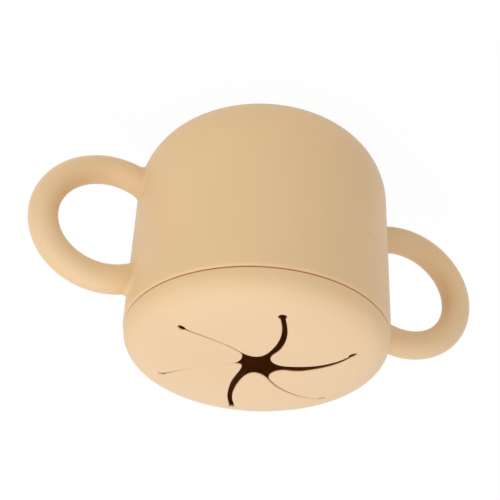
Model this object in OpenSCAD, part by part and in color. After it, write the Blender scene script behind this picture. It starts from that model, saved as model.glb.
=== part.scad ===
// Toddler snack container: a soft cup with two ring handles and a soft lid whose top is cut
// by six curved slits into flaps. Millimetres, +Z up, origin at the centre of the base.

/* [Cup] */
// Outside radius of the cup where the lid meets it
cup_r = 40.5; // [37:0.5:46]
// Height of the seam between cup and lid above the base
cup_h = 68.2; // [62:0.2:78]
// How much narrower the outside is at the foot of the straight wall
wall_draft = 0.4; // [0:0.1:1.2]
// Width of the large curve between wall and base, in from the wall
base_curve_w = 16.9; // [13:0.1:20]
// Height of that curve above the base
base_curve_h = 19.2; // [14:0.1:22]
// Wall thickness at the mouth
wall_t = 3.5; // [3.1:0.1:4.4]
// Thickness of the base
base_t = 4; // [2.5:0.1:6]
// Rounding of the cup's outer edge at the seam
rim_edge_r = 1.2; // [0.4:0.1:1.2]
// Height of the lip that stands above the seam inside the lid
lip_h = 2.4; // [1.4:0.1:2.8]
// Rounding of the lip's top edges
lip_edge_r = 0.6; // [0.2:0.1:0.8]

/* [Handles] */
// Half width of the ring that the middle of the tube follows, out from the cup
handle_ring_w = 19.8; // [18:0.1:23]
// Half height of that ring
handle_ring_h = 19.6; // [17:0.1:20]
// Radius of the tube
handle_tube_r = 4.5; // [3.5:0.05:5.5]
// Distance of the ring's centre outside the wall
handle_offset = 9.2; // [7:0.1:12]
// Height of the ring's centre above the base
handle_z = 39.2; // [37:0.2:44]
// Fillet where the tube runs into the wall
handle_fillet_r = 1.6; // [0.8:0.1:3]

/* [Lid] */
// Height of the lid's domed top above the seam
lid_h = 10.1; // [9:0.1:12]
// How flat the dome is in the middle: 2 is a plain ellipse
dome_flatness = 4.2; // [3.6:0.1:5]
// How square the dome's side is: 2 is a plain ellipse
side_squareness = 2.2; // [2:0.1:2.6]
// Rounding of the lid's outer edge at the seam
lid_edge_r = 0.35; // [0.2:0.05:0.6]
// Thickness of the skirt outside the cup's lip
skirt_t = 1.5; // [1.2:0.1:1.8]
// Thickness of the plug ring inside the cup's mouth
plug_t = 2; // [1.4:0.1:2.6]
// Depth of the plug ring below the seam
plug_depth = 7; // [5:0.2:9]
// Height of the two sealing ribs on the plug ring
rib_h = 0.35; // [0.2:0.05:0.6]
// Distance between the two sealing ribs
rib_pitch = 2.8; // [2:0.1:3.4]
// Thickness of the lid's top
top_t = 1.4; // [1.2:0.05:1.8]

/* [Star opening] */
// Distance of the relief holes, where the slits end, in from the lid's outside
relief_inset = 11; // [10.4:0.1:12]
// Radius of a relief hole
relief_r = 1.1; // [0.9:0.05:1.4]
// Turn of the whole star about the lid's centre, in degrees
star_turn = 35.5; // [0:0.5:60]
// Width of a slit
slit_w = 0.5; // [0.4:0.05:1]
// Angle by which a slit turns between its relief hole and the centre
slit_turn = 19; // [10:1:26]
// How far a slit bows out from its straight chord
slit_bow = 2.2; // [1.5:0.1:4]
// Distance of a slit's inner end from the centre
slit_inner_r = 7.5; // [6.5:0.1:10]
// How far a flap's round tip reaches past its corners towards the centre
tip_bulge = 0.8; // [0.3:0.1:1.4]

/* [Hinge lines] */
// Depth of the bending line below the lid's top at the middle of a flap
hinge_depth = 0.8; // [0.7:0.05:0.95]
// Gap between flap and lid at the bending line
hinge_gap = 0.1; // [0.06:0.02:0.2]
// Half angle of the groove above the bending line
groove_top_angle = 17; // [16:1:25]
// Half angle of the groove below the bending line
groove_under_angle = 32; // [31:1:40]

/* [Fits] */
// Radial gap between lid and cup, lip in its channel and ribs in the mouth
fit_gap = 0.05; // [0.03:0.01:0.1]
// Gap above the lip inside the lid
lip_head_gap = 0.3; // [0.2:0.05:0.6]

/* [Hidden] */

cup_colour = [0.87, 0.74, 0.57];
handle_colour = [0.85, 0.71, 0.53];
lid_colour = [0.93, 0.81, 0.65];
flap_colour = [0.95, 0.83, 0.67];

cut_margin = 1;      // how far a cutter runs past what it cuts
curve_steps = 14;    // straight steps along a large curve of a profile
edge_steps = 4;      // straight steps along a small edge rounding
dome_steps = 16;     // straight steps along the lid's dome
slit_steps = 12;     // straight steps along a slit
tube_sides = 28;     // sides of the handle's tube
tube_rings = 22;     // rings along the free part of a handle
fillet_rings = 5;    // rings along a handle's root fillet
root_sink = 3;       // how far a handle's blank runs into the wall before it is cut
relief_land = 0.3;   // width of the even top left outside a relief hole
side_step = 0.0015;  // share of the radius by which the dome's side starts inside the edge
revolve_sides = 120; // facets of a revolved shape in the preview
flap_count = 6;

mouth_r = cup_r - wall_t;
lip_r = cup_r - skirt_t - fit_gap;
base_wall_r = cup_r - wall_draft;
inner_curve_w = base_curve_w - wall_t;
inner_curve_h = base_curve_h - wall_t;
wall_r_at_handle = base_wall_r + wall_draft * (handle_z - base_curve_h) / (cup_h - base_curve_h);
handle_x = wall_r_at_handle + handle_offset;

relief_pitch_r = cup_r - relief_inset;
channel_top = cup_h + lip_h + lip_head_gap;
plug_r = mouth_r - fit_gap - rib_h;
plug_inner_r = plug_r - plug_t;
plug_bottom = cup_h - plug_depth;
plug_edge_r = plug_t / 4;
thin_r = relief_pitch_r + relief_r + relief_land; // radius within which the top is evenly thick
inner_corner_r = plug_inner_r - thin_r;

side_r = cup_r * (1 - side_step); // where the dome's side starts above the edge rounding
hinge_r = relief_pitch_r * cos(180 / flap_count);
hinge_len = 2 * relief_pitch_r * sin(180 / flap_count);
hinge_z = dome_z(hinge_r) - hinge_depth;

// Points of an elliptical arc about c, from angle a0 to angle a1
function arc(c, rx, ry, a0, a1, steps) =
    [for (i = [0:steps]) let (a = a0 + (a1 - a0) * i / steps) [c[0] + rx * cos(a), c[1] + ry * sin(a)]];

// Height of the lid's top surface at distance r from the axis
function dome_z(r) =
    cup_h + lid_h * pow(1 - pow(r / cup_r, dome_flatness), 1 / side_squareness);

// Points of the dome from distance r0 to distance r1, closer together towards the side
function dome(r0, r1, drop) =
    [for (i = [0:dome_steps]) let (a0 = asin(r0 / cup_r), a1 = asin(r1 / cup_r),
        r = cup_r * sin(a0 + (a1 - a0) * i / dome_steps)) [r, dome_z(r) - drop]];

// A point given by its distance from the axis and its angle
function polar(r, a) = [r * cos(a), r * sin(a)];

// Outside of the cup from the base up to the seam
function cup_outside() = concat(
    [[0, 0]],
    arc([base_wall_r - base_curve_w, base_curve_h], base_curve_w, base_curve_h, -90, 0, curve_steps),
    arc([cup_r - rim_edge_r, cup_h - rim_edge_r], rim_edge_r, rim_edge_r, 0, 90, edge_steps));

// Lip that stands above the seam, from outside to inside
function lip_outline() = concat(
    [[lip_r, cup_h]],
    arc([lip_r - lip_edge_r, cup_h + lip_h - lip_edge_r], lip_edge_r, lip_edge_r, 0, 90, edge_steps),
    arc([mouth_r + lip_edge_r, cup_h + lip_h - lip_edge_r], lip_edge_r, lip_edge_r, 90, 180, edge_steps));

// Inside of the cup, from the mouth down to the axis
function cup_inside() = concat(
    arc([mouth_r - inner_curve_w, base_t + inner_curve_h], inner_curve_w, inner_curve_h,
        0, -90, curve_steps),
    [[0, base_t]]);

module cup_blank() {
    rotate_extrude($fn = revolve_sides)
        polygon(concat(cup_outside(), [[0, cup_h]]));
}

module cup_shell() {
    color(cup_colour)
        rotate_extrude($fn = revolve_sides)
            polygon(concat(cup_outside(), lip_outline(), cup_inside()));
}

// Angle along the ring, from its outermost point, at which the tube's line at angle around
// lies at distance from the wall
function root_angle(around, distance) =
    let (r = wall_r_at_handle + distance, x = sqrt(r * r - pow(handle_tube_r * sin(around), 2)))
    acos((x - handle_x) / (handle_ring_w + handle_tube_r * cos(around)));

// A point of the handle's skin, with the tube thickened by grow
function tube_point(along, around, grow) =
    let (r = handle_tube_r + grow, out = r * cos(around))
    [handle_x + (handle_ring_w + out) * cos(along), r * sin(around),
     handle_z + (handle_ring_h + out) * sin(along)];

// The root: distance from the wall and thickening at each ring of the fillet
root_rows = concat([[-root_sink, handle_fillet_r]],
    [for (i = [0:fillet_rings]) let (a = 90 - 90 * i / fillet_rings)
        [handle_fillet_r * (1 - sin(a)), handle_fillet_r * (1 - cos(a))]]);

function tube_ring(side, row) =
    [for (j = [0:tube_sides - 1]) let (around = 360 * j / tube_sides)
        tube_point(side * root_angle(around, row[0]), around, row[1])];

function free_ring(share) =
    [for (j = [0:tube_sides - 1]) let (around = 360 * j / tube_sides)
        tube_point(share * root_angle(around, handle_fillet_r), around, 0)];

function middle(points) = [for (k = [0:2]) [for (p = points) p[k]] * [for (p = points) 1 / len(points)]];

handle_rings = concat(
    [for (row = root_rows) tube_ring(-1, row)],
    [for (i = [1:tube_rings]) free_ring(2 * i / (tube_rings + 1) - 1)],
    [for (i = [len(root_rows) - 1:-1:0]) tube_ring(1, root_rows[i])]);

// A closed skin over a list of rings, each end closed by a fan
module ring_skin(rings) {
    sides = len(rings[0]);
    last = len(rings) - 1;
    points = concat([for (ring = rings) each ring], [middle(rings[0]), middle(rings[last])]);
    first_middle = len(points) - 2;
    walls = [for (i = [0:last - 1]) for (j = [0:sides - 1]) let (k = (j + 1) % sides)
        each [[i * sides + j, i * sides + k, (i + 1) * sides + j],
              [i * sides + k, (i + 1) * sides + k, (i + 1) * sides + j]]];
    ends = [for (j = [0:sides - 1]) let (k = (j + 1) % sides)
        each [[first_middle, k, j], [first_middle + 1, last * sides + j, last * sides + k]]];
    polyhedron(points, concat(walls, ends));
}

module handle() {
    color(handle_colour)
        difference() {
            ring_skin(handle_rings);
            cup_blank();
        }
}

module left_handle() {
    handle();
}

module right_handle() {
    rotate([0, 0, 180])
        handle();
}

// Outside of the lid, from the seam up over the dome to the axis
function lid_outside() = concat(
    arc([cup_r - lid_edge_r, cup_h + lid_edge_r], lid_edge_r, lid_edge_r, -90, 0, edge_steps),
    dome(side_r, 0, 0));

// Underside of the lid's top and the inside of the plug ring, from the axis outwards
function lid_inside() = concat(
    dome(0, thin_r, top_t),
    arc([thin_r, dome_z(thin_r) - top_t - inner_corner_r], inner_corner_r, inner_corner_r,
        90, 0, edge_steps * 2),
    [[plug_inner_r, plug_bottom]]);

// A half-round sealing rib centred at height z
function rib(z) = arc([plug_r, z], rib_h, rib_h, -90, 90, edge_steps * 2);

// Outside of the plug ring and the channel for the cup's lip, from below
function plug_outside() = concat(
    [[plug_r - plug_edge_r, plug_bottom], [plug_r, plug_bottom + plug_edge_r]],
    rib(plug_bottom + plug_depth / 2 - rib_pitch / 2),
    rib(plug_bottom + plug_depth / 2 + rib_pitch / 2),
    [[plug_r, channel_top], [cup_r - skirt_t, channel_top], [cup_r - skirt_t, cup_h]]);

module lid_blank() {
    rotate_extrude($fn = revolve_sides)
        polygon(concat(lid_outside(), lid_inside(), plug_outside()));
}

// Groove along one bending line: a wedge above and a wider one below, meeting at the line
module hinge_groove() {
    top = hinge_depth + cut_margin;
    under = top_t + cut_margin;
    half = hinge_gap / 2;
    translate([hinge_r, hinge_len / 2, hinge_z])
        rotate([90, 0, 0])
            linear_extrude(hinge_len)
                polygon([[half, 0], [half + top * tan(groove_top_angle), top],
                         [-half - top * tan(groove_top_angle), top], [-half, 0],
                         [-half - under * tan(groove_under_angle), -under],
                         [half + under * tan(groove_under_angle), -under]]);
}

// Turns a shape that lies along +X to the middle of flap i
module to_flap(i) {
    rotate([0, 0, star_turn + (i - 0.5) * 360 / flap_count])
        children();
}

module relief_hole() {
    translate([0, 0, cup_h + lip_h])
        cylinder(h = lid_h, r = relief_r, $fn = 32);
}

module lid_rim() {
    color(lid_colour)
        difference() {
            lid_blank();
            rotate([0, 0, star_turn])
                translate([0, 0, cup_h])
                    cylinder(h = lid_h + cut_margin, r = relief_pitch_r, $fn = flap_count);
            for (i = [1:flap_count]) {
                to_flap(i)
                    hinge_groove();
                rotate([0, 0, star_turn + i * 360 / flap_count])
                    translate([relief_pitch_r, 0, 0])
                        relief_hole();
            }
        }
}

// Middle line of the slit that ends in the relief hole at angle 0, as centre, radius and angles
slit_outer = [relief_pitch_r, 0];
slit_inner = polar(slit_inner_r, -slit_turn);
slit_chord = norm(slit_outer - slit_inner);
slit_r = (slit_chord * slit_chord / 4 + slit_bow * slit_bow) / (2 * slit_bow);
slit_dir = (slit_outer - slit_inner) / slit_chord;
slit_side = [-slit_dir[1], slit_dir[0]];
slit_centre = (slit_outer + slit_inner) / 2 + slit_side * (slit_r - slit_bow);
slit_outer_angle = atan2(slit_outer[1] - slit_centre[1], slit_outer[0] - slit_centre[0]);
slit_inner_angle = atan2(slit_inner[1] - slit_centre[1], slit_inner[0] - slit_centre[0]);

// Outline of a flap's edge along the slit, offset sideways from the slit's middle line
function slit_edge(offset, from, to) =
    arc(slit_centre, slit_r + offset, slit_r + offset, from, to, slit_steps);

function turned(points, a) =
    [for (p = points) [p[0] * cos(a) - p[1] * sin(a), p[0] * sin(a) + p[1] * cos(a)]];

// Round tip between two corners, bulging towards the centre
function tip(p, q, bulge) =
    let (chord = norm(q - p), r = (chord * chord / 4 + bulge * bulge) / (2 * bulge),
         out = (p + q) / norm(p + q), c = (p + q) / 2 + out * (r - bulge),
         half = asin(chord / 2 / r), mid = atan2(-out[1], -out[0]))
    arc(c, r, r, mid + half, mid - half, edge_steps * 2);

module flap_outline() {
    step = 360 / flap_count;
    first = slit_edge(-slit_w / 2, slit_outer_angle, slit_inner_angle);
    second = turned(slit_edge(slit_w / 2, slit_inner_angle, slit_outer_angle), step);
    intersection() {
        rotate([0, 0, -step / 2])
            polygon(concat(first, tip(first[slit_steps], second[0], tip_bulge), second));
        translate([0, -hinge_len])
            square([hinge_r - hinge_gap / 2, 2 * hinge_len]);
    }
}

// The even top of the lid before it is slit
module top_blank() {
    rotate_extrude($fn = revolve_sides)
        polygon(concat(dome(thin_r, 0, 0), dome(0, thin_r, top_t)));
}

module flap(i) {
    color(flap_colour)
        to_flap(i)
            difference() {
                intersection() {
                    top_blank();
                    translate([0, 0, cup_h])
                        linear_extrude(lid_h + cut_margin)
                            flap_outline();
                }
                hinge_groove();
                for (side = [-1, 1])
                    translate([hinge_r, side * hinge_len / 2, 0])
                        relief_hole();
            }
}

cup_shell();
left_handle();
right_handle();
lid_rim();
flap(1);  // flap_1
flap(2);  // flap_2
flap(3);  // flap_3
flap(4);  // flap_4
flap(5);  // flap_5
flap(6);  // flap_6
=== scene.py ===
from math import asin, atan2, cos, degrees, pi, radians, sin

import bmesh
import bpy
import numpy as np
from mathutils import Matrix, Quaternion, Vector
from mathutils.geometry import delaunay_2d_cdt


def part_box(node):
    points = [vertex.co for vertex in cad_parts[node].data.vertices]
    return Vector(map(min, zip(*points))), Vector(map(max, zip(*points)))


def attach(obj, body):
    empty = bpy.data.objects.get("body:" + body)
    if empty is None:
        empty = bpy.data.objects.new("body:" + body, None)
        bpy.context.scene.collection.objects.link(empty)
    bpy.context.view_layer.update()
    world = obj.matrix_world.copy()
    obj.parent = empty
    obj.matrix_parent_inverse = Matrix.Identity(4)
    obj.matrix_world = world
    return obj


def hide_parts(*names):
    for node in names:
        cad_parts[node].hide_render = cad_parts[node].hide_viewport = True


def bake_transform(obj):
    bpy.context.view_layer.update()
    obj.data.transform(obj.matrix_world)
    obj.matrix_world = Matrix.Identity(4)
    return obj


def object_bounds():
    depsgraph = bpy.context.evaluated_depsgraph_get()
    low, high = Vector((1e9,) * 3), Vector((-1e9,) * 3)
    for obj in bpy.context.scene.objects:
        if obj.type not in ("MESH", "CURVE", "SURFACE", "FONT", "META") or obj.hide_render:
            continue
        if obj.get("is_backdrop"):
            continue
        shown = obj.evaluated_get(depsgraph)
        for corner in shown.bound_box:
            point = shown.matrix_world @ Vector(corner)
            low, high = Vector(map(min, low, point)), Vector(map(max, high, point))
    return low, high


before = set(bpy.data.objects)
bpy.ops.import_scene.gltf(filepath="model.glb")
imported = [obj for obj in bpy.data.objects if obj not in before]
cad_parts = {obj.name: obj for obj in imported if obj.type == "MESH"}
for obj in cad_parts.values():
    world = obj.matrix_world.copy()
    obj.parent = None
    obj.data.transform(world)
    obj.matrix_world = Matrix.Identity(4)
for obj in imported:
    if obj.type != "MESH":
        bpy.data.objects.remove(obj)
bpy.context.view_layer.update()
mm = 0.001  # sizes below are millimetres, and become metres when a mesh is made
print("frame loaded:", len(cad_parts), "nodes")


# Camera: the photo is an ordinary view from above, turned upside down

photoView = {
    "azimuth": 18.69,    # degrees round from the front towards the left handle
    "elevation": 33.34,  # degrees above the table
    "roll": 182.64,      # the lid is at the bottom of the picture
    "place": (103.42, -295.79, 242.28),
    "lens": 85.2,        # for a sensor 36 wide
}


def addCamera():
    turn, lift = radians(photoView["azimuth"]), radians(photoView["elevation"])
    back = Vector((sin(turn) * cos(lift), -cos(turn) * cos(lift), sin(lift)))
    data = bpy.data.cameras.new("photoCamera")
    data.lens, data.sensor_width = photoView["lens"], 36
    data.clip_start, data.clip_end = 0.01, 20
    camera = bpy.data.objects.new("photoCamera", data)
    bpy.context.scene.collection.objects.link(camera)
    camera.location = Vector(photoView["place"]) * mm
    camera.rotation_mode = "QUATERNION"
    upright = (-back).to_track_quat("-Z", "Y")
    camera.rotation_quaternion = upright @ Quaternion((0, 0, 1), radians(photoView["roll"]))
    bpy.context.scene.camera = camera


addCamera()
print("camera placed")


# Node trees written as formulas

class Wire:
    def __init__(self, tree, socket=None):
        self.tree, self.socket = tree, socket

    def node(self, kind, settings=None, feeds=None, out=0):
        made = self.tree.nodes.new(kind)
        for name, value in (settings or {}).items():
            setattr(made, name, value)
        for key, value in (feeds or {}).items():
            if isinstance(value, Wire):
                self.tree.links.new(value.socket, made.inputs[key])
            else:
                made.inputs[key].default_value = value
        return Wire(self.tree, made.outputs[out] if made.outputs else None)

    def math(self, operation, *values):
        return self.node("ShaderNodeMath", {"operation": operation}, dict(enumerate(values)))

    def __add__(self, other): return self.math("ADD", self, other)
    def __radd__(self, other): return self.math("ADD", other, self)
    def __sub__(self, other): return self.math("SUBTRACT", self, other)
    def __rsub__(self, other): return self.math("SUBTRACT", other, self)
    def __mul__(self, other): return self.math("MULTIPLY", self, other)
    def __rmul__(self, other): return self.math("MULTIPLY", other, self)
    def __truediv__(self, other): return self.math("DIVIDE", self, other)
    def __rtruediv__(self, other): return self.math("DIVIDE", other, self)
    def __pow__(self, other): return self.math("POWER", self, other)
    def __lt__(self, other): return self.math("LESS_THAN", self, other)
    def __gt__(self, other): return self.math("GREATER_THAN", self, other)

    def clamped(self, low, high):
        return self.math("MINIMUM", self.math("MAXIMUM", self, low), high)


# Finishes: soft matt silicone, with a painted highlight on the lid's top and wherever it faces up, and
# painted shade and a painted glow in narrow places

def linear(colour):
    levels = [c / 12.92 if c <= 0.04045 else ((c + 0.055) / 1.055) ** 2.4 for c in colour]
    return (*levels, 1)


silicone = {
    "seeds": {"cup_silicone": 3.1, "handle_silicone": 11.7, "lid_silicone": 23.9},
    "colour": (0.874, 0.740, 0.553),
    # paintedHighlight: a paler colour painted where light from above falls and reflects
    "paintedHighlight": (0.905, 0.775, 0.615),
    "paintedShade": (0.97, 0.45, 0.12),   # painted shade of narrow places and hollows, as shares of the colour
    "paintedGlow": (0.05, 0.014, 0.0),   # painted glow: faint warm light that narrow places emit, standing in for light let in by the silicone
    "shade": 0.90,        # how dark the cloudy patches go, as a share of the colour
    "cloudScale": 26,     # patches to a metre
    "grainScale": 2400,   # moulding grain to a metre
    "grainDepth": 0.02,   # millimetres
    "speckScale": 110,    # cells to a metre, each with at most one speck
    "speckSize": 0.08,    # share of a cell
    "speckShare": 0.75,   # share of the cells that have one
    "speckHeight": 0.6,   # as a share of the grain's depth
    "dust": (0.55, 0.47, 0.38),
    "dustShare": 0.35,    # how far a speck takes the dust's colour
    "roughness": 0.52,
}


def siliconeFinish(slot):
    material = bpy.data.materials.new(slot)
    material.use_nodes = True
    tree = material.node_tree
    tree.nodes.clear()
    start = Wire(tree)
    place = start.node("ShaderNodeTexCoord", out="Object")
    seed = silicone["seeds"][slot]
    moved = start.node("ShaderNodeMapping", feeds={"Vector": place, "Location": (seed, -seed, seed / 2)})

    cloud = start.node("ShaderNodeTexNoise", feeds={
        "Vector": moved, "Scale": silicone["cloudScale"], "Detail": 3, "Roughness": 0.55})
    grain = start.node("ShaderNodeTexNoise", feeds={
        "Vector": moved, "Scale": silicone["grainScale"], "Detail": 2})
    cells = {"Vector": moved, "Scale": silicone["speckScale"]}
    distance = start.node("ShaderNodeTexVoronoi", feeds=cells, out="Distance")
    lot = start.node("ShaderNodeSeparateColor", feeds={
        0: start.node("ShaderNodeTexVoronoi", feeds=cells, out="Color")})
    size = silicone["speckSize"] * (0.4 + lot)
    speck = (1 - distance / size).clamped(0, 1) * (lot < silicone["speckShare"])

    def mixed(factor, first, second):
        return start.node("ShaderNodeMix", {"data_type": "RGBA"}, {0: factor, 6: first, 7: second}, out=2)

    def painted(name):
        return start.node("ShaderNodeAttribute", {"attribute_name": name}, out="Fac")

    tone, paintedHighlight, dust = linear(silicone["colour"]), linear(silicone["paintedHighlight"]), linear(silicone["dust"])
    paintedShade = tuple(c * share for c, share in zip(tone, silicone["paintedShade"])) + (1,)
    dark = (*(silicone["shade"],) * 3, 1)
    patch = (cloud * 1.8 - 0.55).clamped(0, 1) * 0.5
    # the colour takes the painted highlight, then the painted shade where the depth attribute is set
    base = mixed(painted("depth"), mixed(painted("paintedHighlight"), tone, paintedHighlight), paintedShade)
    cloudy = start.node("ShaderNodeMix", {"data_type": "RGBA", "blend_type": "MULTIPLY"},
                        {0: patch, 6: base, 7: dark}, out=2)
    colour = mixed(speck * silicone["dustShare"], cloudy, dust)
    rough = silicone["roughness"] + (cloud - 0.5) * 0.12 + (grain - 0.5) * 0.06
    bump = start.node("ShaderNodeBump", feeds={
        "Height": grain + speck * silicone["speckHeight"], "Strength": 0.5,
        "Distance": silicone["grainDepth"] * mm})
    # painted glow: narrow places emit a faint warm light
    paintedGlow = mixed(painted("glow"), (0, 0, 0, 1), (*silicone["paintedGlow"], 1))
    shader = start.node("ShaderNodeBsdfPrincipled", feeds={
        "Base Color": colour, "Roughness": rough, "Normal": bump, "IOR": 1.46,
        "Emission Color": paintedGlow, "Emission Strength": 1.0,
        "Sheen Weight": 0.2, "Sheen Roughness": 0.4})
    start.node("ShaderNodeOutputMaterial", feeds={"Surface": shader})
    material.cycles.emission_sampling = "NONE"  # the painted glow is too weak to search for
    return material


finishes = {slot: siliconeFinish(slot) for slot in ("cup_silicone", "handle_silicone", "lid_silicone")}
print("finishes made")


# Mesh helpers: outlines are (distance from the axis, height) or (x, y) pairs

def arc(centre, radii, start, end, steps):
    turns = np.radians(np.linspace(start, end, steps + 1))
    return [(centre[0] + radii[0] * cos(t), centre[1] + radii[1] * sin(t)) for t in turns]


def polar(radius, turn):
    return np.array([radius * cos(radians(turn)), radius * sin(radians(turn))])


def turned(points, turn):
    c, s = cos(radians(turn)), sin(radians(turn))
    return np.asarray(points) @ np.array([[c, s], [-s, c]])


def revolve(profile, sides):  # a profile that goes up on the outside gives outward faces
    turns = np.linspace(0, 2 * pi, sides, endpoint=False)
    points = [(r * cos(t), r * sin(t), z) for r, z in profile for t in turns]
    faces = [[p * sides + s, p * sides + (s + 1) % sides,
              (p + 1) * sides + (s + 1) % sides, (p + 1) * sides + s]
             for p in range(len(profile) - 1) for s in range(sides)]
    return np.array(points), faces


def holdSurface(mesh, wanted):  # shades a face by the true surface where the two nearly agree
    corners = np.zeros(len(mesh.loops) * 3, np.float32)
    mesh.corner_normals.foreach_get("vector", corners)
    corners = corners.reshape(-1, 3)
    vertex = np.zeros(len(mesh.loops), np.int32)
    mesh.loops.foreach_get("vertex_index", vertex)
    given = wanted[vertex]
    near = (given * corners).sum(1) > 0.8
    corners[near] = given[near]
    mesh.normals_split_custom_set(corners.tolist())


def makePiece(name, points, faces, slot, normals=None):
    used = np.unique(np.concatenate([np.asarray(f) for f in faces]))
    place = {old: new for new, old in enumerate(used.tolist())}
    mesh = bpy.data.meshes.new(name)
    mesh.from_pydata((points[used] * mm).tolist(), [], [[place[v] for v in f] for f in faces])
    given = np.zeros((len(used), 3)) if normals is None else normals[used]
    mesh.attributes.new("surface", "FLOAT_VECTOR", "POINT").data.foreach_set("vector", given.ravel())
    shape = bmesh.new()
    shape.from_mesh(mesh)
    bmesh.ops.remove_doubles(shape, verts=shape.verts, dist=1e-7)
    shape.to_mesh(mesh)
    openEdges = sum(1 for e in shape.edges if len(e.link_faces) != 2)
    volume = round(shape.calc_volume(signed=True) * 1e9)
    print(name, len(mesh.polygons), "faces,", openEdges, "open edges,", volume, "mm3")
    shape.free()
    mesh.shade_smooth()
    mesh.set_sharp_from_angle(angle=radians(35))
    wanted = np.zeros(len(mesh.vertices) * 3, np.float32)
    mesh.attributes["surface"].data.foreach_get("vector", wanted)
    mesh.attributes.remove(mesh.attributes["surface"])
    holdSurface(mesh, wanted.reshape(-1, 3))
    piece = bpy.data.objects.new(name, mesh)
    bpy.context.scene.collection.objects.link(piece)
    mesh.materials.append(finishes[slot])
    return piece


def paint(piece, name, values):  # an attribute that the finish reads
    piece.data.attributes.new(name, "FLOAT", "POINT").data.foreach_set("value", np.asarray(values, float))


def pointsOf(piece):  # millimetres
    places = np.zeros(len(piece.data.vertices) * 3, np.float32)
    piece.data.vertices.foreach_get("co", places)
    return places.reshape(-1, 3).astype(float) / mm


# Cup

cup = {
    "lipHeight": 3,        # lip above the seam, inside the lid
    "lipEdge": 0.6,
    "lipOutside": 1.55,    # lip's outside, in from the wall
    "rimEdge": 1.5,        # rounding of the outer edge below the seam
    "rimTurn": 45,         # degrees of that rounding that stay outside the lid
    "draft": 0.4,          # how much narrower the wall is at its foot
    "curveWidth": 16.9,    # large curve between wall and base
    "curveHeight": 19.2,
    "wall": 3.5,
    "base": 4,
    "grooveShade": 0.5,     # how far the groove under the lid's edge takes the painted shade
    "grooveGlow": 0.6,     # painted glow there, as a share of the most
    "insideShade": 0.5,     # the same painted shade and painted glow for the inside
    "insideGlow": 0.07,
    "deepStart": 14,       # depth below the lip at which the inside has all of its painted shade and painted glow
    "sides": 288,
}
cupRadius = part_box("cup_shell")[1].x / mm
lidInset = 0.35            # the lid's side, in from the cup's
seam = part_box("cup_shell")[1].z / mm - cup["lipHeight"]


def cupProfile():
    foot, mouth = cupRadius - cup["draft"], cupRadius - cup["wall"]
    wide, tall, edge, lip = cup["curveWidth"], cup["curveHeight"], cup["rimEdge"], cup["lipEdge"]
    bend = seam - edge * sin(radians(cup["rimTurn"]))  # where the rim's rounding starts
    innerWide, innerTall = wide - cup["wall"], tall - cup["wall"]
    lipOut, lipTop = cupRadius - cup["lipOutside"], seam + cup["lipHeight"]
    base = [(r, 0) for r in np.linspace(0, foot - wide, 8)]
    wall = [(foot + cup["draft"] * t, tall + (bend - tall) * t) for t in np.linspace(0, 1, 60)[1:-1]]
    outside = (base[:-1] + arc((foot - wide, tall), (wide, tall), -90, 0, 48) + wall
               + arc((cupRadius - edge, bend), (edge, edge), 0, cup["rimTurn"], 10))
    top = ([(lipOut, seam), (lipOut, seam + 0.4)] + arc((lipOut - lip, lipTop - lip), (lip, lip), 0, 90, 6)
           + arc((mouth + lip, lipTop - lip), (lip, lip), 90, 180, 6))
    curveTop = cup["base"] + innerTall
    innerWall = [(mouth, z) for z in np.linspace(lipTop - lip - 0.5, curveTop + 0.5, 12)]
    inside = (innerWall + arc((mouth - innerWide, curveTop), (innerWide, innerTall), 0, -90, 40)
              + [(r, cup["base"]) for r in np.linspace(mouth - innerWide, 0, 8)[1:]])
    return outside + top + inside


cupBody = makePiece("cupBody", *revolve(cupProfile(), cup["sides"]), "cup_silicone")


def shadeCup():
    places = pointsOf(cupBody)
    radius, height = np.hypot(places[:, 0], places[:, 1]), places[:, 2]
    low = np.clip(1 - (height - cup["base"]) / (cup["curveHeight"] - cup["base"] + 0.5), 0, 1)
    hollow = cupRadius - cup["wall"] + 0.1 - (cup["curveWidth"] - cup["wall"]) * (1 - np.sqrt(1 - low ** 2))
    within = (radius < hollow) & (height > cup["base"] - 0.5)
    # painted shade and painted glow inside the cup, growing downwards from the lip
    inside = within * np.clip((seam + cup["lipHeight"] - height) / cup["deepStart"], 0, 1)
    # painted highlight on the rounding of the rim below the seam
    rimHeight = (height - seam) / cup["rimEdge"] + sin(radians(cup["rimTurn"]))
    # painted shade and painted glow in the groove under the lid's edge
    groove = ~within & (np.abs(height - seam) < 0.01) & (radius < cupRadius - lidInset)
    paint(cupBody, "paintedHighlight", ~within * np.clip(rimHeight, 0, 1))
    paint(cupBody, "depth", np.maximum(inside * cup["insideShade"], groove * cup["grooveShade"]))
    paint(cupBody, "glow", np.maximum(inside * cup["insideGlow"], groove * cup["grooveGlow"]))


shadeCup()
print("cup made")


# Handles: one tree sweeps the ring's tube and flares its roots into the wall

handle = {
    "Ring half width": 19.8,
    "Ring half height": 19.6,
    "Tube radius": 4.5,
    "Ring centre out": 49.46,
    "Ring centre up": 39.2,
    "Root fillet": 1.5,
    "Fillet gain": 1.5,     # how much wider it gets outside the ring
    "Root depth": 1.6,      # how far the hidden root runs into the wall
    "Wall radius": cupRadius - cup["draft"],
    "Wall foot": cup["curveHeight"],
    "Base curve": cup["curveWidth"],
}
handleCounts = {"Sides": 56, "Free rows": 110, "Fillet rows": 12}
handlePaintedHighlight = {
    "even": 0.3,            # painted highlight over the whole tube
    "upward": 0.5,          # more of it where the tube faces up
    "fade": 4.0,            # distance from the wall over which it grows, so the root stays darker as painted shade
}


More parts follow.
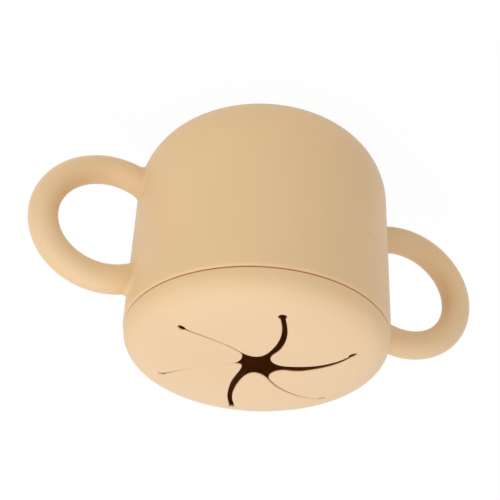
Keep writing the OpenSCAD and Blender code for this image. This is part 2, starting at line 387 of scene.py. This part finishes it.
def handleTree():
    tree = bpy.data.node_groups.new("handleRing", "GeometryNodeTree")
    face = tree.interface
    for name in handle:
        face.new_socket(name, in_out="INPUT", socket_type="NodeSocketFloat")
    for name in handleCounts:
        face.new_socket(name, in_out="INPUT", socket_type="NodeSocketInt")
    face.new_socket("Wall slope", in_out="INPUT", socket_type="NodeSocketFloat")
    face.new_socket("Turn", in_out="INPUT", socket_type="NodeSocketFloat")
    face.new_socket("Finish", in_out="INPUT", socket_type="NodeSocketMaterial")
    face.new_socket("Handle", in_out="OUTPUT", socket_type="NodeSocketGeometry")
    given = tree.nodes.new("NodeGroupInput")
    size = {s.name: Wire(tree, s) for s in given.outputs if s.name}
    start = Wire(tree)

    rows = size["Free rows"] + 2 * size["Fillet rows"] + 2
    tube = start.node("GeometryNodeMeshCylinder", {"fill_type": "NGON"}, {
        "Vertices": size["Sides"], "Side Segments": rows, "Radius": 1.0, "Depth": 2.0})
    spot = start.node("GeometryNodeInputPosition")
    where = {axis: spot.node("ShaderNodeSeparateXYZ", feeds={0: spot}, out=i) for i, axis in enumerate("xyz")}
    around = start.math("ARCTAN2", where["y"], where["x"])
    half, side = start.math("ABSOLUTE", where["z"]), start.math("SIGN", where["z"])
    freeShare = size["Free rows"] / rows
    filletShare = (size["Free rows"] + 2 * size["Fillet rows"]) / rows
    bend = ((half - freeShare) / (filletShare - freeShare)).clamped(0, 1)
    sunk = ((half - filletShare) / (1 - filletShare)).clamped(0, 1)

    outward, sideways = start.math("COSINE", around), start.math("SINE", around)
    radius = size["Tube radius"]
    wide, tall = size["Ring half width"] + radius * outward, size["Ring half height"] + radius * outward
    beside = radius * sideways

    def wallAt(height):  # a drafted wall above the ellipse of the base curve
        above = height - size["Wall foot"]
        down = (0 - above / size["Wall foot"]).clamped(0, 1)
        tuck = size["Base curve"] * (1 - start.math("SQRT", 1 - down * down))
        return size["Wall radius"] + size["Wall slope"] * start.math("MAXIMUM", above, 0.0) - tuck

    def lineTurn(wall):  # angle along the ring at which the tube's line meets that radius
        out = start.math("SQRT", wall * wall - beside * beside)
        return start.math("ARCCOSINE", (out - size["Ring centre out"]) / wide)

    def onTube(turn):
        return (size["Ring centre out"] + wide * start.math("COSINE", turn), beside,
                size["Ring centre up"] + tall * start.math("SINE", turn))

    roughTurn = lineTurn(wallAt(size["Ring centre up"]))
    wall = wallAt(size["Ring centre up"] + side * tall * start.math("SINE", roughTurn))
    fillet = size["Root fillet"] + size["Fillet gain"] * start.math("MAXIMUM", outward, 0.0) ** 2
    rootTurn, filletTurn = lineTurn(wall), lineTurn(wall + fillet)
    root, lift = onTube(side * rootTurn), onTube(side * filletTurn)
    across = (root[0] / wall, root[1] / wall)
    lean = (outward * start.math("COSINE", side * rootTurn), sideways,
            outward * start.math("SINE", side * rootTurn))
    into = lean[0] * across[0] + lean[1] * across[1]
    flat = (lean[0] - into * across[0], lean[1] - into * across[1], lean[2])
    length = start.math("SQRT", flat[0] * flat[0] + flat[1] * flat[1] + flat[2] * flat[2])
    spread = [root[i] + fillet * flat[i] / length for i in range(3)]
    reach = start.math("SQRT", spread[0] * spread[0] + spread[1] * spread[1])
    footWall = wallAt(spread[2]) - 0.01 * mm
    foot = (spread[0] * footWall / reach, spread[1] * footWall / reach, spread[2])

    stay = 1 - bend
    flared = [lift[i] * stay * stay + root[i] * (2 * stay * bend) + foot[i] * (bend * bend) for i in range(3)]
    inward = sunk * size["Root depth"] / footWall
    flared[0], flared[1] = flared[0] - foot[0] * inward, flared[1] - foot[1] * inward
    free = onTube(side * filletTurn * (half / freeShare).clamped(0, 1))
    isFree = half < freeShare
    chosen = [free[i] * isFree + flared[i] * (1 - isFree) for i in range(3)]
    target = start.node("ShaderNodeCombineXYZ", feeds=dict(enumerate(chosen)))
    shaped = start.node("GeometryNodeSetPosition", feeds={"Geometry": tube, "Position": target})
    facing = start.node("ShaderNodeCombineXYZ", feeds={2: size["Turn"]})
    placed = start.node("GeometryNodeTransform", feeds={"Geometry": shaped, "Rotation": facing})
    real = start.node("GeometryNodeRealizeInstances", feeds={0: placed})
    finished = start.node("GeometryNodeSetMaterial", feeds={"Geometry": real, "Material": size["Finish"]})
    result = tree.nodes.new("NodeGroupOutput")
    tree.links.new(finished.socket, result.inputs[0])
    return tree


def grown(name, tree, values):  # a plain mesh piece grown by a tree from named values
    holder = bpy.data.objects.new(name + "Holder", bpy.data.meshes.new(name + "Holder"))
    bpy.context.scene.collection.objects.link(holder)
    modifier = holder.modifiers.new("grow", "NODES")
    modifier.node_group = tree
    for item in tree.interface.items_tree:
        if item.in_out == "INPUT":
            modifier[item.identifier] = values[item.name]
    bpy.context.view_layer.update()
    evaluated = holder.evaluated_get(bpy.context.evaluated_depsgraph_get())
    mesh = bpy.data.meshes.new_from_object(evaluated)
    holder.modifiers.remove(modifier)
    bpy.data.objects.remove(holder)
    mesh.name = name
    piece = bpy.data.objects.new(name, mesh)
    bpy.context.scene.collection.objects.link(piece)
    return piece


def handlePiece(name, tree, turn):
    values = {key: value * mm for key, value in handle.items()} | handleCounts
    slope = cup["draft"] / (seam - cup["rimEdge"] * sin(radians(cup["rimTurn"])) - cup["curveHeight"])
    values |= {"Wall slope": slope, "Turn": turn, "Finish": finishes["handle_silicone"]}
    piece = grown(name, tree, values)
    mesh = piece.data
    mesh.shade_smooth()
    mesh.set_sharp_from_angle(angle=radians(60))
    places = pointsOf(piece)
    distance = np.hypot(places[:, 0], places[:, 1])
    above = places[:, 2] - handle["Wall foot"]
    down = np.clip(-above / handle["Wall foot"], 0, 1)
    tuck = handle["Base curve"] * (1 - np.sqrt(1 - down ** 2))
    wall = handle["Wall radius"] + slope * np.maximum(above, 0) - tuck
    lean = -down * handle["Base curve"] / handle["Wall foot"] / np.sqrt(1 - down ** 2)
    normal = np.column_stack([places[:, :2] / distance[:, None], lean]).astype(np.float32)
    normal /= np.linalg.norm(normal, axis=1, keepdims=True)
    wanted = np.where((np.abs(distance - wall) < 0.06)[:, None], normal, 0)
    holdSurface(mesh, wanted)
    # painted highlight on the handle, more where it faces up and none at the wall, where the root is left
    # darker as painted shade
    facing = np.array([v.normal.z for v in mesh.vertices])
    share = handlePaintedHighlight["even"] + handlePaintedHighlight["upward"] * np.maximum(facing, 0)
    paint(piece, "paintedHighlight", share * np.clip((distance - wall) / handlePaintedHighlight["fade"], 0, 1))
    print(name, len(mesh.polygons), "faces")
    return piece


ring = handleTree()
leftHandle = handlePiece("leftHandle", ring, 0.0)
rightHandle = handlePiece("rightHandle", ring, pi)
print("handles made")


# Lid: a domed top cut by six bowed slits into petals, each slit as open as the photo shows it

lid = {
    "height": 10.7,       # dome above the seam
    "gap": 0.34,          # between the lid's edge and the cup's rim
    "flatness": 4.2,
    "squareness": 2.6,
    "edge": 0.2,          # outer edge at the seam
    "skirt": 1.5,
    "channelHeight": 3.3,
    "plugOutside": 3.9,   # in from the cup's outside
    "plugInside": 5.9,
    "plugDepth": 7,
    "plugEdge": 0.5,
    "joinRadius": 31.7,   # the part of the top that is cut lies inside this radius
    "thickness": 1.4,
    "hingeThickness": 0.6,   # at the relief holes
    "bendThickness": 0.6,    # at the bending lines
    "tipThickness": 0.6,
    "sideHighlightLoss": 0.85,     # how far the side loses the painted highlight
    "plugShade": 0.5,      # how far the inside of the plug takes the painted shade
    "cutShade": 0.4,       # how far the walls of the slits take the painted shade
    "cutGlow": 0.5,       # painted glow in the slits, as a share of the most
    "sides": 256,
    "grid": 0.85,         # spacing of the points in the top
}
star = {
    "turn": 35.5,         # the first relief hole, in degrees from the left handle
    "holeRing": 29.5,
    # half length, half width and the length's turn from the radius, one for each hole
    "holeShapes": [(1.1, 0.55, -17), (1.25, 0.95, 90), (1.1, 0.52, 62),
                   (1.25, 0.8, 8), (1.2, 0.95, 90), (1.2, 0.8, 11)],
    "slitTurn": 18.5,
    "slitBow": 2.2,
    "slitInner": 7.65,
    "mouth": 0.28,        # rounding where a slit meets its hole
    "mouthWidth": 0.65,   # how far a slit's edge may start from the slit's middle
    "corner": 2.3,        # how far out a petal's corner starts to round
    "edge": 0.36,         # rounding of the cut edges above
    "underEdge": 0.2,     # and below
    "cornerShare": 0.7,   # most rounding at a sharp corner, as a share of the corner's radius
    "border": 85,         # degrees round a hole where petal and rim part
    # at shares of the way from the hole to the centre, one row for each slit
    "shares": (0, 0.08, 0.2, 0.4, 0.6, 0.8, 1),
    "openWidths": [(0.50, 0.50, 0.34, 0.18, 0.06, 0.05, 0.05),
                   (1.65, 1.65, 1.33, 1.42, 1.62, 2.22, 2.60),
                   (0.40, 0.36, 0.30, 0.26, 0.12, 0.06, 0.08),
                   (0.70, 0.95, 1.20, 1.60, 2.00, 2.95, 2.05),
                   (1.30, 1.32, 1.36, 1.67, 1.90, 2.05, 1.40),
                   (0.60, 0.48, 0.40, 0.40, 0.44, 0.54, 0.36)],
    "sideShifts": [(0.10, 0.30, 0.30, 0.20, 0.00, -0.20, -0.70),
                   (0.15, 0.45, 0.46, 0.38, 0.24, -0.08, -0.40),
                   (-0.05, -0.45, -0.76, -0.76, -0.70, -0.65, 0.00),
                   (-0.05, -0.20, -0.26, -0.28, -0.40, -0.72, -0.35),
                   (0.00, 0.08, 0.04, 0.09, 0.21, 0.32, 0.56),
                   (0.00, 0.30, 0.50, 0.44, 0.25, 0.06, -0.12)],
    "slitEnds": [1.1, 1.0, 1.0, 1.0, 1.0, 1.0],
    "tipReach": [4.2, 4.7, 6.7, 5.55, 5.65, 5.65],   # how near each petal's tip comes to the centre
    "droop": 0.9,         # how far each tip hangs below the dome
}
petals = 6
lidRadius = cupRadius - lidInset
petalTurns = [star["turn"] + (k + 0.5) * 360 / petals for k in range(petals)]
chordRadius = star["holeRing"] * cos(pi / petals)


def domeHeight(r):
    rise = 1 - np.minimum(r / lidRadius, 1) ** lid["flatness"]
    return seam + lid["height"] * rise ** (1 / lid["squareness"])


def topHeight(x, y, petal):  # the rim is petal -1
    height = domeHeight(np.hypot(x, y))
    if petal < 0:
        return height
    out = polar(1, petalTurns[petal])
    inward = np.maximum(chordRadius - (x * out[0] + y * out[1]), 0)
    return height - star["droop"] * (inward / (chordRadius - star["tipReach"][petal])) ** 2


def thicknessAt(x, y):
    radii = (star["slitInner"], chordRadius, star["holeRing"], lid["joinRadius"])
    sizes = (lid["tipThickness"], lid["bendThickness"], lid["hingeThickness"], lid["thickness"])
    return np.interp(np.hypot(x, y), radii, sizes)


def topNormal(x, y, petal):
    step = 0.02
    slopeX = (topHeight(x + step, y, petal) - topHeight(x - step, y, petal)) / (2 * step)
    slopeY = (topHeight(x, y + step, petal) - topHeight(x, y - step, petal)) / (2 * step)
    normal = np.stack([-slopeX, -slopeY, np.ones_like(slopeX)], -1)
    return normal / np.linalg.norm(normal, axis=-1, keepdims=True)


def smoothRow(row, shares):
    return np.mean([np.interp(shares + d, star["shares"], row) for d in np.linspace(-0.08, 0.08, 9)], axis=0)


def slitEdge(slit, side, shares):  # side -1 is the edge of the petal anticlockwise of the slit
    outer, inner = polar(star["holeRing"], 0), polar(star["slitInner"], -star["slitTurn"])
    chord = np.linalg.norm(outer - inner)
    along = (outer - inner) / chord
    radius = (chord ** 2 / 4 + star["slitBow"] ** 2) / (2 * star["slitBow"])
    centre = (outer + inner) / 2 + np.array([-along[1], along[0]]) * (radius - star["slitBow"])
    first, last = (atan2(*(p - centre)[::-1]) for p in (outer, inner))
    shares = shares * star["slitEnds"][slit % petals]
    width, shift = (smoothRow(star[name][slit % petals], shares) for name in ("openWidths", "sideShifts"))
    turn = first + (last - first) * shares
    most = star["mouthWidth"] + 0.3 * chord * shares  # keeps the edge's start inside the hole
    reach = radius + np.clip(side * width / 2 - shift, -most, most)
    points = np.stack([centre[0] + reach * np.cos(turn), centre[1] + reach * np.sin(turn)], -1)
    return turned(points, star["turn"] + slit * 360 / petals)


def bezier(points, steps):
    share = np.linspace(0, 1, steps + 1)[:, None]
    while len(points) > 1:
        points = [a * (1 - share) + b * share for a, b in zip(points, points[1:])]
    return points[0]


def trimmed(path, reach):  # path without its last stretch, and the point where it now ends
    lengths = np.linalg.norm(np.diff(path, axis=0), axis=1)[::-1].cumsum()
    i = int(np.searchsorted(lengths, reach))
    over = (lengths[i] - reach) / (lengths[i] - (lengths[i - 1] if i else 0))
    a, b = path[-2 - i], path[-1 - i]
    return path[:len(path) - 1 - i], a + (b - a) * over


def joined(first, second, reach):  # two paths that share a corner, the corner rounded
    lengths = [np.linalg.norm(np.diff(path, axis=0), axis=1).sum() for path in (first, second)]
    reach = min(reach, 0.45 * min(lengths))
    before, a = trimmed(first, reach)
    after, b = trimmed(second[::-1], reach)
    return np.concatenate([before, bezier([a, first[-1], b], 5), after[::-1]])


def holeSqueeze(slit):  # from a circle of radius 1 to the relief hole
    halfLength, halfWidth, turn = star["holeShapes"][slit % petals]
    along, across = polar(1, turn), polar(1, turn + 90)
    return halfLength * np.outer(along, along) + halfWidth * np.outer(across, across)


def mouthCut(slit, edge):  # where a slit's edge leaves its relief hole
    offset = turned(edge, -star["turn"] - slit * 360 / petals) - (star["holeRing"], 0)
    offset = offset @ np.linalg.inv(holeSqueeze(slit))
    away = np.linalg.norm(offset, axis=1)
    i = int(np.argmax(away > 1))
    share = (1 - away[i - 1]) / (away[i] - away[i - 1])
    cut = edge[i - 1] + (edge[i] - edge[i - 1]) * share
    offset = offset[i - 1] + (offset[i] - offset[i - 1]) * share
    return np.concatenate([[cut], edge[i:]]), degrees(atan2(offset[1], offset[0]))


def holeArc(slit, start, end):
    steps = max(int(abs(end - start) * pi / 180 / 0.16), 4)
    local = np.array(arc((0, 0), (1, 1), start, end, steps)) @ holeSqueeze(slit) + (star["holeRing"], 0)
    return turned(local, star["turn"] + slit * 360 / petals)


def petalPath(petal):  # cut edge of a petal, from one relief hole round the tip to the next
    shares = np.linspace(0, 1, 76)
    ownEdge, ownTurn = mouthCut(petal, slitEdge(petal, -1, shares))
    nextEdge, nextTurn = mouthCut(petal + 1, slitEdge(petal + 1, 1, shares))
    ownEdge, a = trimmed(ownEdge, star["corner"])
    nextEdge, b = trimmed(nextEdge, star["corner"])
    aWay, bWay = (v / np.linalg.norm(v) for v in (a - ownEdge[-1], b - nextEdge[-1]))
    middle = (a + b) / 2
    out = middle / np.linalg.norm(middle)
    pull = (star["tipReach"][petal] - middle @ out) / (0.375 * ((aWay + bWay) @ out))
    tip = bezier([a, a + aWay * pull, b + bWay * pull, b], 34)
    first = joined(holeArc(petal, star["border"], ownTurn % 360), ownEdge, star["mouth"])
    last = joined(nextEdge[::-1], holeArc(petal + 1, nextTurn % 360 - 360, -star["border"]), star["mouth"])
    return np.concatenate([first, tip, last])


def inside(points, polygon):
    x, y = points[:, 0][:, None], points[:, 1][:, None]
    a, b = polygon, np.roll(polygon, -1, axis=0)
    spans = (a[:, 1] > y) != (b[:, 1] > y)
    rise = np.where(b[:, 1] == a[:, 1], 1, b[:, 1] - a[:, 1])
    crossing = a[:, 0] + (y - a[:, 1]) * (b[:, 0] - a[:, 0]) / rise
    return (spans & (x < crossing)).sum(1) % 2 == 1


def shadeLid(pieces):  # painted highlight on the top, the side left in the cup's own tone, and painted shade and painted glow in the slits, the plug and the foot
    for petal, piece in enumerate(pieces, -1):
        x, y, height = pointsOf(piece).T
        r = np.hypot(x, y)
        tilt = np.degrees(np.arctan((domeHeight(r - 0.01) - domeHeight(r + 0.01)) / 0.02))
        upright = np.abs([v.normal.z for v in piece.data.vertices]) < 0.8
        belowTop = height < topHeight(x, y, petal) - star["edge"] * 0.9
        # painted shade and painted glow on the slits' walls, the lid's foot and the inside of the plug
        cutWall = upright & (r < lid["joinRadius"] - 0.1) & belowTop
        foot = (height < seam + lid["gap"] + 0.05) & (r > cupRadius - lid["skirt"] - 0.1)
        paint(piece, "paintedHighlight", 1 - np.clip((tilt - 22) / 48, 0, 1) * lid["sideHighlightLoss"])
        underDome = (r > lid["joinRadius"] - 0.1) & (height < domeHeight(r) - 0.5)
        inPlug = (r < cupRadius - lid["plugInside"] + 0.1) & underDome
        besides = np.maximum(inPlug * lid["plugShade"], foot * cup["grooveShade"])
        paint(piece, "depth", np.maximum(cutWall * lid["cutShade"], besides))
        paint(piece, "glow", np.maximum(cutWall * lid["cutGlow"], foot * cup["grooveGlow"]))


def cutLoop():  # the whole cut edge, and which petal each point's next step belongs to
    points, owners = [], []
    for petal in range(petals):
        rimArc = holeArc(petal, -star["border"], star["border"])[:-1]
        path = petalPath(petal)[:-1]
        points += [rimArc, path]
        owners += [-1] * len(rimArc) + [petal] * len(path)
    return np.concatenate(points), np.array(owners)


def gridPoints(keepOff):  # even points over the top, clear of the lines that cut it
    points = []
    for r in np.arange(5, lid["joinRadius"] - 0.4, lid["grid"]):
        count = max(int(2 * pi * r / lid["grid"]), 6)
        turns = np.linspace(0, 2 * pi, count, endpoint=False) + r
        points.append(np.stack([r * np.cos(turns), r * np.sin(turns)], -1))
    points = np.concatenate(points)
    nearest = np.min([((points[:, None] - part[None]) ** 2).sum(2).min(1)
                      for part in np.array_split(keepOff, 8)], axis=0)
    return points[nearest > (lid["grid"] * 0.55) ** 2]


def lidProfile():  # from the join below, round the plug and skirt, and up to the join on the dome
    join, edge = lid["joinRadius"], lid["edge"]
    plugIn, plugOut = cupRadius - lid["plugInside"], cupRadius - lid["plugOutside"]
    low, channelTop = seam - lid["plugDepth"], seam + lid["channelHeight"]
    corner = plugIn - join
    under = domeHeight(join) - lid["thickness"]
    skirtIn = cupRadius - lid["skirt"]
    sweep = np.linspace(asin(0.9985), asin(join / lidRadius), 60)
    dome = [(lidRadius * sin(t), domeHeight(lidRadius * sin(t))) for t in sweep]
    foot = seam + lid["gap"]
    return (arc((join, under - corner), (corner, corner), 90, 0, 12)
            + [(plugIn, z) for z in np.linspace(under - corner - 1, low + lid["plugEdge"], 5)]
            + arc((plugIn + lid["plugEdge"], low + lid["plugEdge"]), (lid["plugEdge"],) * 2, 180, 270, 5)
            + arc((plugOut - lid["plugEdge"], low + lid["plugEdge"]), (lid["plugEdge"],) * 2, -90, 0, 5)
            + [(plugOut, channelTop), (skirtIn, channelTop), (skirtIn, foot)]
            + arc((lidRadius - edge, foot + edge), (edge, edge), -90, 0, 6)[:-1] + dome)


def easing(loop):  # share of the full rounding at each point, less where a corner of the material is sharp
    before, after = loop - np.roll(loop, 2, axis=0), np.roll(loop, -2, axis=0) - loop
    bend = before[:, 0] * after[:, 1] - before[:, 1] * after[:, 0]
    lengths = [np.linalg.norm(side, axis=1) for side in (before, after, before + after)]
    sharpness = np.maximum(-2 * bend / np.prod(lengths, axis=0), 0)
    ease = 1 / np.maximum(star["edge"] * sharpness / star["cornerShare"], 1)
    ease = np.min([np.roll(ease, k) for k in range(-2, 3)], axis=0)
    return np.mean([np.roll(ease, k) for k in range(-2, 3)], axis=0)[:, None]


def lidMeshes():
    loop, owners = cutLoop()
    step = np.roll(loop, -1, axis=0) - np.roll(loop, 1, axis=0)
    step /= np.linalg.norm(step, axis=1, keepdims=True)
    intoMaterial = np.stack([step[:, 1], -step[:, 0]], -1)
    starts = [int(np.argmax(owners == k)) for k in range(petals)]
    ends = [int(len(owners) - np.argmax(owners[::-1] == k)) % len(owners) for k in range(petals)]

    ease = easing(loop)
    topRing = loop + intoMaterial * star["edge"] * ease
    borders = []
    for k in range(petals):
        a, b = topRing[starts[k]], topRing[ends[k]]
        count = int(np.linalg.norm(b - a) / lid["grid"])
        borders.append(a + (b - a) * np.linspace(0, 1, count + 1)[1:-1, None])
    rim = np.array(arc((0, 0), (lid["joinRadius"],) * 2, 0, 360, lid["sides"]))[:-1]
    grid = gridPoints(np.concatenate([topRing, *borders]))
    grid = grid[~inside(grid, topRing)]

    flat = np.concatenate([topRing, rim, *borders, grid])
    count, rimStart = len(topRing), len(topRing)
    edges = [(i, (i + 1) % count) for i in range(count)]
    edges += [(rimStart + i, rimStart + (i + 1) % len(rim)) for i in range(len(rim))]
    chains, at = [], rimStart + len(rim)
    for k, border in enumerate(borders):
        chains.append([starts[k], *range(at, at + len(border)), ends[k]])
        edges += list(zip(chains[k], chains[k][1:]))
        at += len(border)
    found = delaunay_2d_cdt([Vector(p) for p in flat], edges, [], 0, 1e-6)
    places = np.array([tuple(v) for v in found[0]])
    whereIs = {old: new for new, olds in enumerate(found[3]) for old in olds}
    triangles = np.array([list(f) for f in found[2]])
    a, b, c = (places[triangles[:, i]] for i in range(3))
    area = (b[:, 0] - a[:, 0]) * (c[:, 1] - a[:, 1]) - (b[:, 1] - a[:, 1]) * (c[:, 0] - a[:, 0])
    triangles[area < 0] = triangles[area < 0][:, ::-1]
    middles = (a + b + c) / 3
    owner = np.where(inside(middles, topRing), -2, -1)
    for k in range(petals):
        span = np.arange(starts[k], starts[k] + (ends[k] - starts[k]) % count + 1) % count
        outline = np.concatenate([topRing[span], borders[k][::-1]])
        owner[(owner == -1) & inside(middles, outline)] = k

    topCount = len(places)
    height, under = np.zeros(topCount), np.zeros(topCount)
    normals = np.zeros((topCount, 3))
    for k in range(-1, petals):
        mine = np.unique(triangles[owner == k])
        x, y = places[mine].T
        height[mine] = topHeight(x, y, k)
        under[mine] = height[mine] - thicknessAt(x, y)
        normals[mine] = topNormal(x, y, k)

    turns = np.radians([30, 60, 90])
    levels = [(star["edge"] * (1 - sin(t)), star["edge"] * (1 - cos(t)), 1) for t in turns]
    levels += [(out, drop * star["underEdge"] / star["edge"], -1) for out, drop, _ in levels[::-1]]
    ring = [whereIs[i] for i in range(count)]
    walls = []
    for out, drop, end in levels:
        level = height[ring] - drop * ease[:, 0] if end > 0 else under[ring] + drop * ease[:, 0]
        walls.append(np.column_stack([loop + intoMaterial * out * ease, level]))
    points = np.concatenate([np.column_stack([places, height]), np.column_stack([places, under]), *walls])
    normals = np.concatenate([normals, -normals, np.zeros((len(levels) * count, 3))])

    def level(row, i):  # the point of the cut edge's row: 0 is the top, the last is the underside
        if row == 0:
            return ring[i]
        return topCount + ring[i] if row > len(levels) else 2 * topCount + (row - 1) * count + i

    rows = range(len(levels) + 1)
    faces = {k: [] for k in range(-1, petals)}
    for k in faces:
        mine = triangles[owner == k]
        faces[k] += mine.tolist() + (mine[:, ::-1] + topCount).tolist()
    for i in range(count):
        n = (i + 1) % count
        for row in rows:
            quad = [level(row, i), level(row, n), level(row + 1, n), level(row + 1, i)]
            faces[int(owners[i])].append(quad)
    last = len(levels) + 1
    for k, chain in enumerate(chains):
        line = [whereIs[i] for i in chain]
        caps = [[p, p + topCount, q + topCount, q] for p, q in zip(line, line[1:])]
        caps.append([level(row, starts[k]) for row in range(1, last + 1)] + [level(0, starts[k])])
        caps.append([level(0, ends[k])] + [level(row, ends[k]) for row in range(last, 0, -1)])
        faces[k] += caps
        faces[-1] += [cap[::-1] for cap in caps]

    body, bodyFaces = revolve(lidProfile(), lid["sides"])
    faces[-1] += [[v + len(points) for v in f] for f in bodyFaces]
    points = np.concatenate([points, body])
    normals = np.concatenate([normals, np.zeros_like(body)])
    pieces = [makePiece(f"petal{k + 1}", points, faces[k], "lid_silicone", normals) for k in range(petals)]
    return makePiece("lidRim", points, faces[-1], "lid_silicone", normals), pieces


lidRim, petalPieces = lidMeshes()
shadeLid([lidRim, *petalPieces])
print("lid made")


# Sealing ribs round the lid's plug, inside the cup's mouth

ribs = {
    "Plug radius": cupRadius - lid["plugOutside"],
    "Rib radius": 0.35,
    "Lowest rib": seam - lid["plugDepth"] / 2 - 1.4,
    "Rib spacing": 2.8,
}


def ribTree():
    tree = bpy.data.node_groups.new("sealingRibs", "GeometryNodeTree")
    for name in ribs:
        tree.interface.new_socket(name, in_out="INPUT", socket_type="NodeSocketFloat")
    tree.interface.new_socket("Ribs", in_out="INPUT", socket_type="NodeSocketInt")
    tree.interface.new_socket("Finish", in_out="INPUT", socket_type="NodeSocketMaterial")
    tree.interface.new_socket("Rings", in_out="OUTPUT", socket_type="NodeSocketGeometry")
    given = tree.nodes.new("NodeGroupInput")
    size = {s.name: Wire(tree, s) for s in given.outputs if s.name}
    start = Wire(tree)
    path = start.node("GeometryNodeCurvePrimitiveCircle", feeds={
        "Resolution": 192, "Radius": size["Plug radius"]})
    section = start.node("GeometryNodeCurvePrimitiveCircle", feeds={
        "Resolution": 14, "Radius": size["Rib radius"]})
    rib = start.node("GeometryNodeCurveToMesh", feeds={"Curve": path, "Profile Curve": section})
    low = start.node("ShaderNodeCombineXYZ", feeds={2: size["Lowest rib"]})
    rise = start.node("ShaderNodeCombineXYZ", feeds={2: size["Rib spacing"]})
    places = start.node("GeometryNodeMeshLine", feeds={
        "Count": size["Ribs"], "Start Location": low, "Offset": rise})
    each = start.node("GeometryNodeInstanceOnPoints", feeds={"Points": places, "Instance": rib})
    real = start.node("GeometryNodeRealizeInstances", feeds={0: each})
    finished = start.node("GeometryNodeSetMaterial", feeds={"Geometry": real, "Material": size["Finish"]})
    result = tree.nodes.new("NodeGroupOutput")
    tree.links.new(finished.socket, result.inputs[0])
    return tree


ribValues = {key: value * mm for key, value in ribs.items()}
sealingRibs = grown("sealingRibs", ribTree(), ribValues | {"Ribs": 2, "Finish": finishes["lid_silicone"]})
sealingRibs.data.shade_smooth()
print("sealing ribs made")


# Pieces take the place of their CAD nodes; the cup's pieces, the lid's rim and the ribs move with their
# bodies, and the petals are baked in place

def stand(piece, body, node):
    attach(piece, body)
    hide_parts(node)


stand(cupBody, "cup", "cup_shell")
stand(leftHandle, "cup", "left_handle")
stand(rightHandle, "cup", "right_handle")
stand(lidRim, "lid", "lid_rim")
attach(sealingRibs, "lid")

holeReach = 1.25  # of the widest relief hole
bendStart = chordRadius + (holeReach + star["edge"]) * sin(radians(120 - star["border"]))
bendReach = 6.5   # distance in from its chord to a petal's inner point, worked out below but not used
for k, piece in enumerate(petalPieces):
    out = polar(1, petalTurns[k])
    high = domeHeight(chordRadius)
    first, last = (Vector((*(out * r), high)) * mm for r in (bendStart, chordRadius - bendReach))
    f"flap_{k + 1}"
    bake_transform(piece)
    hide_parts(f"flap_{k + 1}")


# Floor, white to the camera but keeping the shadow, and soft light from above

stageLook = {
    "floorSize": 6,       # metres
    "floorWhite": 0.9,
    "camWhite": 0.97,     # share of plain white that the camera sees in the floor
    "worldStrength": 0.7,
}
lamps = {
    "overhead": {"place": (0.14, 0.0, 0.9), "size": 0.8, "power": 2.7},
    "front": {"place": (0.95, -0.5, 0.45), "size": 0.7, "power": 2.4},
}


def directRays(start):  # 1 for the rays that show something to the camera, also in a reflection
    seen = start.node("ShaderNodeLightPath", out="Is Camera Ray")
    seen = seen + start.node("ShaderNodeLightPath", out="Is Glossy Ray")
    seen = seen + start.node("ShaderNodeLightPath", out="Is Transmission Ray")
    return seen.clamped(0, 1)


def addFloor():
    half = stageLook["floorSize"] / 2
    mesh = bpy.data.meshes.new("floor")
    corners = [(-half, -half, 0), (half, -half, 0), (half, half, 0), (-half, half, 0)]
    mesh.from_pydata(corners, [], [[0, 1, 2, 3]])
    floor = bpy.data.objects.new("floor", mesh)
    bpy.context.scene.collection.objects.link(floor)
    material = bpy.data.materials.new("floor")
    material.use_nodes = True
    material.node_tree.nodes.clear()
    start = Wire(material.node_tree)
    white = stageLook["floorWhite"]
    matt = start.node("ShaderNodeBsdfDiffuse", feeds={"Color": (white, white, white, 1)})
    glow = start.node("ShaderNodeEmission", feeds={"Strength": 1.0})
    glowShare = directRays(start) * stageLook["camWhite"]
    shader = start.node("ShaderNodeMixShader", feeds={0: glowShare, 1: matt, 2: glow})
    start.node("ShaderNodeOutputMaterial", feeds={"Surface": shader})
    mesh.materials.append(material)
    floor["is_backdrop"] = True


def addWorld():
    world = bpy.data.worlds.new("studio")
    world.use_nodes = True
    world.node_tree.nodes.clear()
    start = Wire(world.node_tree)
    dim = stageLook["worldStrength"]
    strength = dim + directRays(start) * (1 - dim)
    background = start.node("ShaderNodeBackground", feeds={"Strength": strength, "Color": (1, 1, 1, 1)})
    start.node("ShaderNodeOutputWorld", feeds={0: background})
    bpy.context.scene.world = world


def addLamp(name, place, size, power):
    data = bpy.data.lights.new(name, "AREA")
    data.shape, data.size, data.energy = "DISK", size, power
    lamp = bpy.data.objects.new(name, data)
    bpy.context.scene.collection.objects.link(lamp)
    lamp.location = place
    target = Vector((0, 0, 0.04))
    lamp.rotation_mode = "QUATERNION"
    lamp.rotation_quaternion = (target - Vector(place)).to_track_quat("-Z", "Y")


addFloor()
addWorld()
for name, values in lamps.items():
    addLamp(name, **values)
bpy.context.scene.view_settings.view_transform = "Standard"
print("stage and light set")

low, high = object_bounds()
